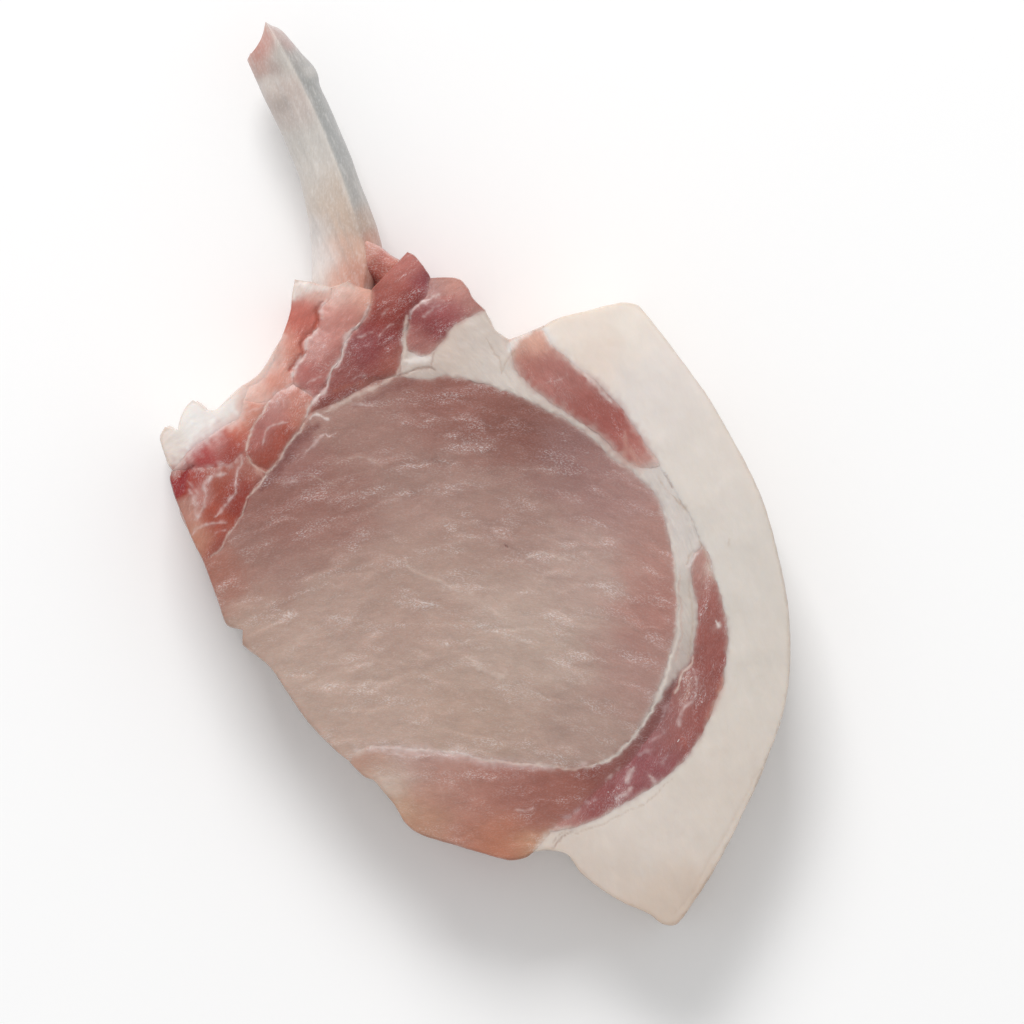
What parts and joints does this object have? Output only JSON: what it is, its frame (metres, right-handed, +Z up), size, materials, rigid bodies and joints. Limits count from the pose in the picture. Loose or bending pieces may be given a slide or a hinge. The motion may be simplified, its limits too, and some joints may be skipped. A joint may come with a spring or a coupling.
{
  "type": "raw pork chop",
  "caption": "Raw pork rib chop: a pale loin eye ringed by darker muscles, seam fat and a thick fat cap, with a curved rib bone standing out of its end.",
  "frame": {"origin": "centre of the bounding box's underside, on the board the chop lies on", "axes": "+Y along the rib, towards its sawn tip; +X towards the fat cap; +Z up, out of the shown cut face"},
  "size_m": [0.1256, 0.1808, 0.0261],
  "materials": {
    "loin_lean": "moist pale pink lean meat",
    "rose_lean": "moist rose lean meat",
    "dark_lean": "moist dark red lean meat",
    "fat": "waxy off-white fat",
    "sinew": "white connective tissue",
    "bone": "damp scraped bone"
  },
  "bodies": {
    "root": {"loin_eye": "loin_lean", "lower_muscle": "loin_lean", "cap_muscle": "rose_lean", "side_muscle": "dark_lean", "blade_strip_outer": "rose_lean", "blade_strip_middle": "rose_lean", "blade_strip_inner": "dark_lean", "blade_strip_top": "dark_lean", "chine_bundle": "rose_lean", "chine_band": "dark_lean", "tail_bundle": "rose_lean", "rib_web": "dark_lean", "fat_cap": "fat", "seam_fat": "fat", "chine_edge": "sinew", "rib_bone": "bone"}
  },
  "joints": []
}
